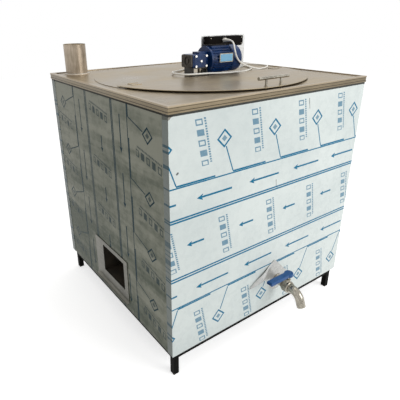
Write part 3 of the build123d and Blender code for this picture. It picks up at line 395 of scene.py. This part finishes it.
FINISH = {
    "deck_steel": deck_finish(),
    "bare_steel": steel("bare_sheet", (0.56, 0.55, 0.51), (0.40, 0.39, 0.36), 0.28, (1, 0.1, 1)),
    # The polished steel's strong dark and pale patches are partly wiped marks and partly painted
    # reflection.
    "polished_steel": steel("polished", (0.50, 0.47, 0.40), (0.17, 0.155, 0.125), 0.08, (1, 1, 1), 9),
    "black_paint": coating("black_tube", (0.003, 0.003, 0.003), (0.006, 0.006, 0.005), 0.5, gloss=0.04),
    "motor_blue": coating("blue_enamel", (0.002, 0.020, 0.085), (0.008, 0.045, 0.16), 0.22, gloss=0.3),
    "black_plastic": coating(
        "black_moulding", (0.004, 0.003, 0.003), (0.008, 0.006, 0.005), 0.5, gloss=0.05
    ),
    "white_plastic": coating("white_moulding", (0.82, 0.81, 0.76), (0.70, 0.68, 0.62), 0.42),
    "grey_plate": steel("folded_plate", (0.62, 0.62, 0.61), (0.48, 0.48, 0.47), 0.34, (1, 1, 0.1)),
    "blue_vinyl": coating("dipped_grip", (0.010, 0.065, 0.21), (0.025, 0.11, 0.30), 0.3, 90, gloss=0.3),
    "white_cord": coating("lead_jacket", (0.88, 0.87, 0.83), (0.78, 0.76, 0.70), 0.45, 300),
    "seal_rubber": coating("seal", (0.05, 0.05, 0.05), (0.09, 0.085, 0.08), 0.6, 150),
    "lagging_wool": coating("wool", (0.46, 0.40, 0.28), (0.60, 0.54, 0.42), 0.9, 90, 0.003),
    "heat_iron": coating(
        "heated_plate", (0.022, 0.018, 0.012), (0.055, 0.042, 0.026), 0.75, 60, 0.0015, metal=0.4
    ),
    "bush_plastic": coating("bearing_white", (0.80, 0.80, 0.76), (0.70, 0.70, 0.66), 0.4),
}
NODE_FINISH = {
    "front_panel": film_finish("film_front", "front"),
    "left_panel": film_finish("film_left", "left"),
    "back_panel": film_finish("film_back", "back"),
    "right_panel": film_finish("film_right", "right"),
    "chimney_stub": steel(
        "chimney", (0.56, 0.47, 0.37), (0.25, 0.20, 0.14), 0.32, (1, 1, 0.1), 9, metal=0.55
    ),
    "fire_surround": steel("fire_frame", (0.20, 0.195, 0.165), (0.075, 0.072, 0.06), 0.28, (1, 0.1, 1)),
    # The stand under the gearbox is near-black, partly its dark casting and partly painted shade.
    "gearbox_stand": coating("cast_stand_and_shade", (0.02, 0.02, 0.022), (0.10, 0.10, 0.10), 0.35, 40, metal=0.6),
    "gearbox_cover_bolts": steel("zinc_bolts", (0.85, 0.84, 0.80), (0.6, 0.6, 0.56), 0.3, (1, 1, 1)),
    "gearbox_end_cap": coating(
        "cast_end", (0.020, 0.017, 0.014), (0.11, 0.10, 0.09), 0.4, 40, 0.0006, metal=0.6
    ),
}
LABEL_FIELD = coating("label_field", (0.16, 0.42, 0.66), (0.22, 0.50, 0.72), 0.35)
FILM_LOOSE = coating("film_loose", (0.50, 0.50, 0.48), (0.74, 0.74, 0.72), 0.3, 30, 0.003)

for row in frame["record"]["subparts"]:
    node = frame["nodes"][row["node"]]
    node.data.materials.clear()
    node.data.materials.append(NODE_FINISH.get(row["node"]) or FINISH[row["material_slot"]])


# Builders for the fine pieces
def piece(name, bm, slot, body="casing", smooth=True, bevel=0.0, look=None):
    """A finished mesh piece from a bmesh, with its material and body."""
    mesh = bpy.data.meshes.new(name)
    bm.normal_update()
    bm.to_mesh(mesh)
    bm.free()
    obj = bpy.data.objects.new(name, mesh)
    bpy.context.scene.collection.objects.link(obj)
    mesh.materials.append(look or FINISH[slot])
    if smooth:
        for poly in mesh.polygons:
            poly.use_smooth = True
    if bevel:
        mod = obj.modifiers.new("edge", "BEVEL")
        mod.width = bevel
        mod.segments = 2
        mod.limit_method = "ANGLE"
        mod.harden_normals = True
    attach(obj, body)
    return obj


def lathe(bm, profile, centre, axis, steps=48):
    """Adds a turned form: profile is (distance along the axis, radius) in millimetres."""
    frame_turn = Vector((0, 0, 1)).rotation_difference(Vector(axis)).to_matrix()
    rings = []
    for along, radius in profile:
        ring = []
        for k in range(steps):
            a = 2 * math.pi * k / steps
            local = Vector((radius * math.cos(a), radius * math.sin(a), along)) / 1000
            ring.append(bm.verts.new(at(*centre) + frame_turn @ local))
        rings.append(ring)
    for low, high in zip(rings, rings[1:]):
        for k in range(steps):
            bm.faces.new((low[k], low[(k + 1) % steps], high[(k + 1) % steps], high[k]))
    for ring, flip in ((rings[0], True), (rings[-1], False)):
        if (ring[0].co - ring[steps // 2].co).length > 1e-6:
            bm.faces.new(ring[::-1] if flip else ring)


def slab(bm, corners, lift):
    """Adds a plate from its outline of points in millimetres, thickened by the lift vector."""
    low = [bm.verts.new(at(*c)) for c in corners]
    high = [bm.verts.new(at(*c) + Vector(lift) / 1000) for c in corners]
    bm.faces.new(low[::-1])
    bm.faces.new(high)
    for k in range(len(low)):
        j = (k + 1) % len(low)
        bm.faces.new((low[k], low[j], high[j], high[k]))


def wire(name, points, radius, slot, body="casing", closed=False):
    """A round bead or weld that follows points in millimetres."""
    data = bpy.data.curves.new(name, "CURVE")
    data.dimensions = "3D"
    data.bevel_depth = radius / 1000
    data.bevel_resolution = 3
    data.use_fill_caps = True
    line = data.splines.new("POLY")
    line.points.add(len(points) - 1)
    for slot_point, p in zip(line.points, points):
        slot_point.co = (*at(*p), 1)
    line.use_cyclic_u = closed
    obj = bpy.data.objects.new(name, data)
    bpy.context.scene.collection.objects.link(obj)
    data.materials.append(FINISH[slot])
    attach(obj, body)
    return obj


def arc(cx, cy, z, radius, start, end, steps):
    """Points in millimetres along an upright axis's arc, in degrees."""
    out = []
    for k in range(steps + 1):
        a = math.radians(start + (end - start) * k / steps)
        out.append((cx + radius * math.cos(a), cy + radius * math.sin(a), z))
    return out


# Mains lead: the route of the solid tube, then the turns of its coil
def make_cord():
    """The white mains lead as one smooth curve from the gland to the plug."""
    gx, gy, gz = GLAND_X, GLAND_Y, GLAND_Z
    # Height of the lead's middle where it lies on the cover, and where it rises round the gearbox
    lie = COVER_LIE
    hump = lie + 7
    dx = gx + 16
    route = [
        (gx, gy - 0.3, gz),
        (gx, gy - 28, gz),
        (gx - 12, gy - 58, gz - 9),
        (gx - 23, gy - 79, gz - 38),
        (gx - 16, gy - 85, gz - 71),
        (gx + 10, gy - 83, gz - 95),
        (gx + 54, gy - 70, gz - 110),
        (dx + 88, gy - 56, lie + 14),
        (dx + 132, gy - 62, lie + 2),
        (dx + 178, gy - 56, lie),
        (dx + 222, gy - 36, lie),
        (dx + 262, gy - 10, lie),
        (dx + 290, gy + 20, lie),
        (dx + 296, gy + 62, lie),
        (dx + 282, gy + 116, lie),
        (dx + 252, gy + 168, lie),
        (dx + 208, gy + 220, lie),
        (dx + 154, gy + 262, lie),
        (dx + 88, gy + 284, lie),
        (dx + 10, gy + 262, lie),
        (dx - 82, gy + 204, lie),
        (dx - 172, gy + 151, lie),
        (dx - 254, gy + 104, lie + 3),
        (dx - 300, gy + 54, hump),
        (dx - 314, gy - 2, hump),
        (dx - 292, gy - 46, hump),
        (dx - 240, gy - 60, hump),
        (dx - 182, gy - 61, hump - 1),
        (dx - 130, gy - 65, lie + 3),
        (dx - 76, gy - 67, lie),
        (dx - 20, gy - 74, lie),
        (dx + 34, gy - 76, lie),
        (dx + 86, gy - 54, lie),
        (dx + 138, gy - 20, lie),
        (dx + 172, gy + 34, lie),
        (dx + 186, gy + 88, lie),
        (COIL_X + 52.55, COIL_Y - 48, lie),
    ]

    # An outer and an inner turn on the cover, then an inner and part of an outer one on top
    points_a_turn = 14
    grow = 1 / math.cos(math.pi / points_a_turn)
    for k in range(49):
        turn = k / points_a_turn
        a = 2 * math.pi * turn
        inner = min(max(turn - 0.85, 0), 0.3) / 0.3 - min(max(turn - 2.85, 0), 0.3) / 0.3
        high = min(max(turn - 1.85, 0), 0.3) / 0.3
        radius = (44.75 - 7.5 * inner + max(0, 0.25 - turn) * 22) * grow
        route.append((COIL_X + radius * math.cos(a), COIL_Y + radius * math.sin(a), lie + 7.6 * high))
    route.append((COIL_X - 44.75, COIL_Y - 15, lie + 8.5))
    route.append((COIL_X - 44.75, COIL_Y - 38.2, lie + 9.9))
    data = bpy.data.curves.new("mains_lead", "CURVE")
    data.dimensions = "3D"
    data.bevel_depth = 0.00375
    data.bevel_resolution = 5
    data.use_fill_caps = True
    data.resolution_u = 8
    line = data.splines.new("NURBS")
    line.points.add(len(route) - 1)
    for slot_point, p in zip(line.points, route):
        slot_point.co = (*at(*p), 1)
    line.order_u = 3
    line.use_endpoint_u = True
    obj = bpy.data.objects.new("mains_lead", data)
    bpy.context.scene.collection.objects.link(obj)
    data.materials.append(FINISH["white_cord"])
    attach(obj, "casing")
    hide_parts("mains_cord", "cord_coil")
    return obj


lead = make_cord()

relief = bmesh.new()
steps = [(0, 6.8), (4, 6.6), (5, 5.6), (9, 5.5), (10, 6.2), (13, 6.0), (14, 5.0), (18, 4.9), (24, 4.0)]
lathe(relief, steps, (GLAND_X, GLAND_Y + 0.2, GLAND_Z), (0, -1, 0), 28)
relief = piece("strain_relief", relief, "white_plastic")


def make_tie():
    """The strap that holds the turns of the coil together: a squared loop round their section."""
    strap = bmesh.new()
    half = 2.5
    thick = 0.9
    wide, tall, squared = 8.2, 7.4, 0.6
    steps = 28
    rings = []
    for side, grow in ((-half, 0), (-half, thick), (half, thick), (half, 0)):
        ring = []
        for k in range(steps):
            a = 2 * math.pi * k / steps
            out, up = math.cos(a), math.sin(a)
            y = COIL_Y + 41 + (wide + grow) * math.copysign(abs(out) ** squared, out)
            z = COVER_LIE + 4.45 + (tall + grow) * math.copysign(abs(up) ** squared, up)
            ring.append(strap.verts.new(at(COIL_X + side, y, z)))
        rings.append(ring)
    for near, far in zip(rings, rings[1:] + rings[:1]):
        for k in range(steps):
            j = (k + 1) % steps
            strap.faces.new((near[k], near[j], far[j], far[k]))
    bmesh.ops.recalc_face_normals(strap, faces=strap.faces)
    return piece("coil_tie", strap, "black_plastic")


tuple(at(GLAND_X, GLAND_Y - 0.3, GLAND_Z))
make_tie()


# Small trim
def trim():
    """The small fixed pieces that dress the drive, the lid and the chimney."""
    # Bare data plate on the motor, in a frame
    mid = MOTOR_Z + 8
    middle = 107
    for name, out, high, skin, look in (
        ("plate_frame", 40, 19.5, -62.5, FINISH["polished_steel"]),
        ("plate_field", 36, 15.5, -63.0, LABEL_FIELD),
    ):
        b = bmesh.new()
        ring = [(middle - out, skin, mid - high), (middle + out, skin, mid - high)]
        ring += [(middle + out, skin, mid + high), (middle - out, skin, mid + high)]
        slab(b, ring, (0, 1.0, 0))
        piece(name, b, "white_plastic", smooth=False, bevel=0.0004, look=look)

    # Capacitor's strap, then the control box's lid screws
    b = bmesh.new()
    lathe(b, [(0, 11.8), (0.01, 12.3), (8, 12.3), (8.01, 11.8)], (275, 66.7, 1170), (0, 0, 1), 32)
    piece("capacitor_strap", b, "polished_steel")
    b = bmesh.new()
    for x in (96, 291):
        for z in (1222, 1249):
            lathe(b, [(0, 3.0), (1.0, 3.0), (1.8, 2.0), (1.9, 0.0)], (x, 38, z), (0, -1, 0), 16)
    piece("box_screws", b, "polished_steel")

    # Hem of the lid, then the chimney's weld and rim
    hem = arc(0, 0, 1103.4, 475.6, 190.6, 349.4, 120)
    wire("lid_hem", hem, 1.5, "deck_steel", "lid")
    weld = arc(CHIMNEY_X, CHIMNEY_Y, 1100.6, 52.6, 0, 354, 60)
    wire("chimney_weld", weld, 1.6, "bare_steel", closed=True)
    rim = arc(CHIMNEY_X, CHIMNEY_Y, 1231.2, 49.8, 0, 354, 60)
    wire("chimney_rim", rim, 1.4, "deck_steel", closed=True)


trim()


# Loose film round the tap, curled away from the panel
def film_flap():
    """A curled sheet that starts at the tear above the tap."""
    b = bmesh.new()
    rows = 14
    cols = 12
    grid = []
    for i in range(rows + 1):
        t = i / rows
        line = []
        for j in range(cols + 1):
            s = j / cols
            x = 30 - 60 * t - 96 * t * s
            z = 350 - 72 * t + 4 * math.sin(3 * s) - 34 * s * t * 0.4
            out = 2 + 16 * math.sin(math.pi * s * 0.9) * t + 3 * math.sin(9 * t + 4 * s)
            line.append(b.verts.new(at(x, -505.5 - abs(out), z)))
        grid.append(line)
    for i in range(rows):
        for j in range(cols):
            b.faces.new((grid[i][j], grid[i + 1][j], grid[i + 1][j + 1], grid[i][j + 1]))
    bmesh.ops.remove_doubles(b, verts=b.verts, dist=1e-6)
    obj = piece("loose_film", b, "white_plastic", look=FILM_LOOSE)
    mod = obj.modifiers.new("sheet", "SOLIDIFY")
    mod.thickness = 0.0003
    return obj


film_flap()


# Floor, light and world
def seen_background(graph):
    """One for the rays that show the background itself, straight or in metal and glass."""
    seen = graph.node("LightPath", {}, {}, "Is Camera Ray")
    seen = seen.high(graph.node("LightPath", {}, {}, "Is Glossy Ray"))
    return seen.high(graph.node("LightPath", {}, {}, "Is Transmission Ray"))


def stage():
    """The floor, the world and two soft lamps."""
    b = bmesh.new()
    reach = 9.0
    corners = [(-reach, -reach), (reach, -reach), (reach, reach), (-reach, reach)]
    b.faces.new([b.verts.new((x, y, 0)) for x, y in corners])
    mesh = bpy.data.meshes.new("floor")
    b.to_mesh(mesh)
    b.free()
    floor = bpy.data.objects.new("floor", mesh)
    bpy.context.scene.collection.objects.link(floor)
    pale = bpy.data.materials.new("floor_white")
    ground = Graph(pale)
    glow = seen_background(ground) * 0.6
    shell = {"Base Color": (0.9, 0.9, 0.9, 1), "Roughness": 0.95, "Specular IOR Level": 0.0}
    glowing = {"Emission Color": (1, 1, 1, 1), "Emission Strength": glow}
    ground.feed(pale.node_tree.nodes["Principled BSDF"], {**shell, **glowing})
    mesh.materials.append(pale)

    world = bpy.data.worlds.new("studio")
    sky = Graph(world)
    seen = seen_background(sky)
    level = seen + (1 - seen) * 0.5
    sky.feed(world.node_tree.nodes["Background"], {"Color": (1, 1, 1, 1), "Strength": level})
    bpy.context.scene.world = world

    def area(name, place, aim, size, power, tint=(1, 1, 1)):
        """A square lamp that faces its aim."""
        data = bpy.data.lights.new(name, "AREA")
        data.size = size
        data.energy = power
        data.color = tint
        lamp = bpy.data.objects.new(name, data)
        bpy.context.scene.collection.objects.link(lamp)
        away = Vector(place) - Vector(aim)
        turn = away.to_track_quat("Z", "Y").to_matrix().to_4x4()
        lamp.matrix_world = Matrix.Translation(Vector(place)) @ turn

    area("key", (1.6, -3.6, 2.2), (0, 0, 0.6), 2.4, 80)
    area("top", (0.6, 0.4, 3.6), (0, 0, 1.0), 3.0, 30, (1, 0.95, 0.88))


stage()
bpy.context.scene.view_settings.view_transform = "Standard"
